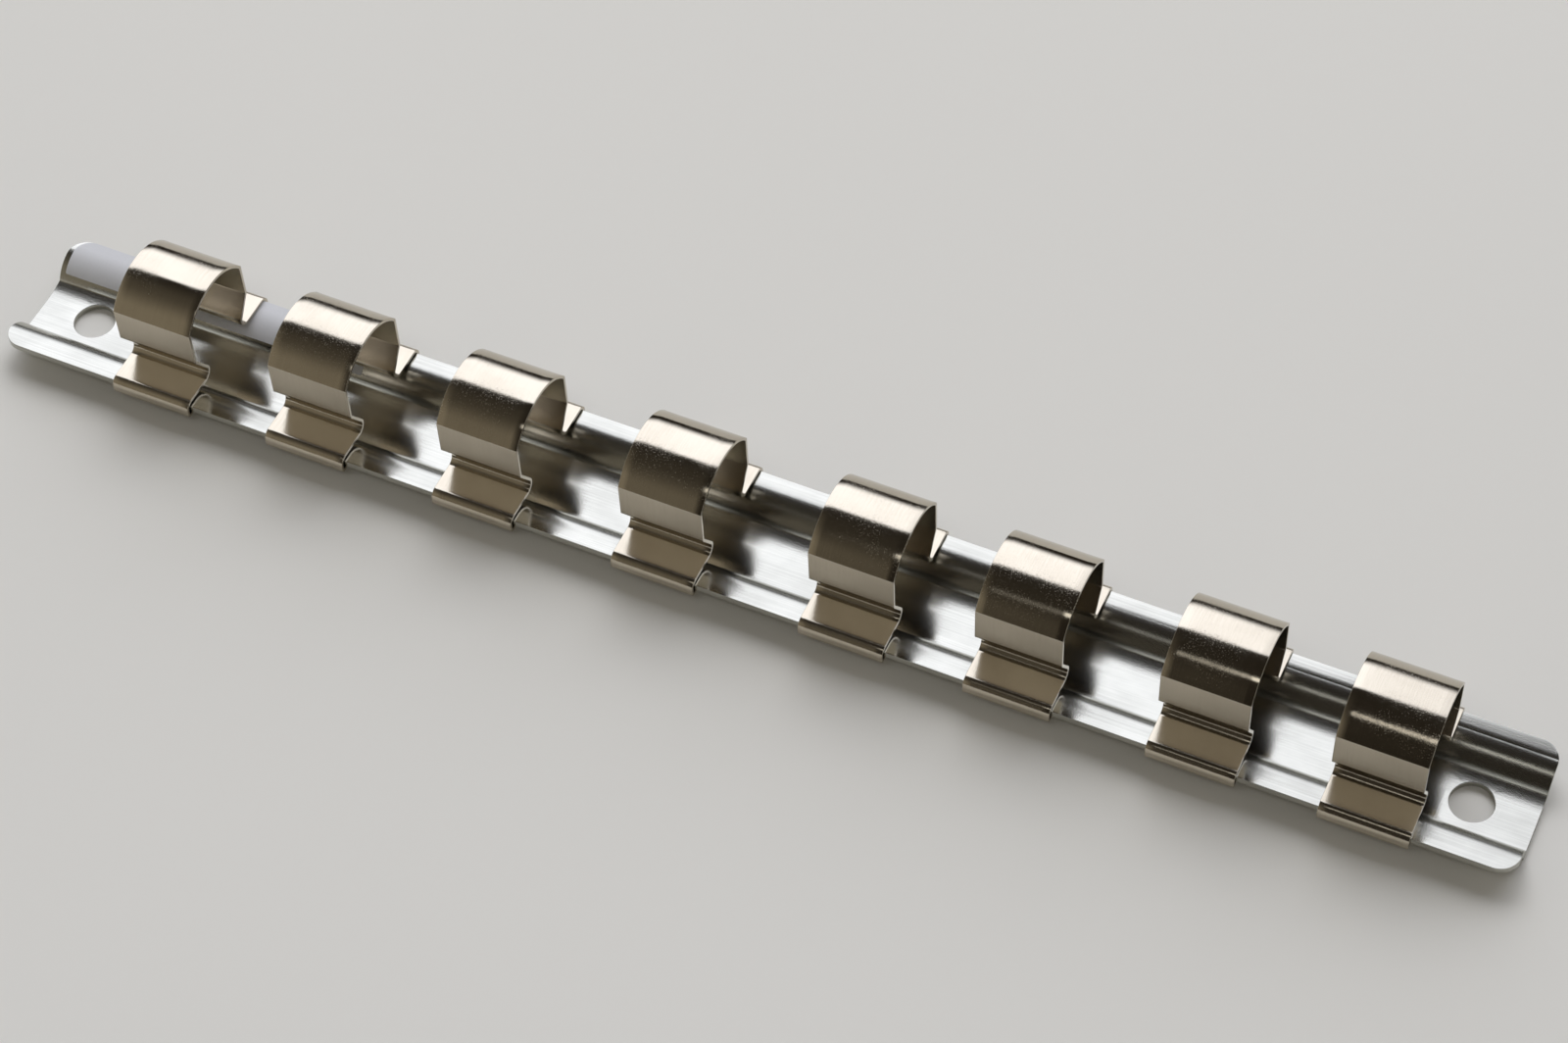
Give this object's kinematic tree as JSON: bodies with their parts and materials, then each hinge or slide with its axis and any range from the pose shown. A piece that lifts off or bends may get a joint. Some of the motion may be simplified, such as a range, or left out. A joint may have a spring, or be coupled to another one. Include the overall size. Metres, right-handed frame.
{
  "type": "socket rail",
  "caption": "Bright formed-steel channel rail with sliding bent spring clips that hold square-drive sockets, a screw hole near each end.",
  "frame": {"origin": "under the middle of the rail, on the plane its flat web stands on", "axes": "+X along the rail, towards the end without the label; +Y towards the flange that carries the label; +Z from the web up through the clips"},
  "size_m": [0.225, 0.0228, 0.0198],
  "materials": {
    "rail_zinc": "bright plated sheet steel, mirror-like with soft rolling streaks",
    "clip_nickel": "nickel-plated spring steel, polished, warmer in tone than the rail",
    "label_paper": "plain matt label stock, blank"
  },
  "bodies": {
    "rail_body": {"rail": "rail_zinc", "label": "label_paper"},
    "clip_1_body": {"clip_1": "clip_nickel"},
    "clip_2_body": {"clip_2": "clip_nickel"},
    "clip_3_body": {"clip_3": "clip_nickel"},
    "clip_4_body": {"clip_4": "clip_nickel"},
    "clip_5_body": {"clip_5": "clip_nickel"},
    "clip_6_body": {"clip_6": "clip_nickel"},
    "clip_7_body": {"clip_7": "clip_nickel"},
    "clip_8_body": {"clip_8": "clip_nickel"}
  },
  "joints": [
    {"name": "clip_1_slide", "type": "slide", "parent": "rail_body", "child": "clip_1_body", "axis": [1, 0, 0], "range_m": [-0.0162, 0.0122]},
    {"name": "clip_2_slide", "type": "slide", "parent": "rail_body", "child": "clip_2_body", "axis": [1, 0, 0], "range_m": [-0.0122, 0.0138]},
    {"name": "clip_3_slide", "type": "slide", "parent": "rail_body", "child": "clip_3_body", "axis": [1, 0, 0], "range_m": [-0.0138, 0.0149]},
    {"name": "clip_4_slide", "type": "slide", "parent": "rail_body", "child": "clip_4_body", "axis": [1, 0, 0], "range_m": [-0.0149, 0.0153]},
    {"name": "clip_5_slide", "type": "slide", "parent": "rail_body", "child": "clip_5_body", "axis": [1, 0, 0], "range_m": [-0.0153, 0.0112]},
    {"name": "clip_6_slide", "type": "slide", "parent": "rail_body", "child": "clip_6_body", "axis": [1, 0, 0], "range_m": [-0.0112, 0.013]},
    {"name": "clip_7_slide", "type": "slide", "parent": "rail_body", "child": "clip_7_body", "axis": [1, 0, 0], "range_m": [-0.013, 0.0109]},
    {"name": "clip_8_slide", "type": "slide", "parent": "rail_body", "child": "clip_8_body", "axis": [1, 0, 0], "range_m": [-0.0109, 0.0106]}
  ]
}
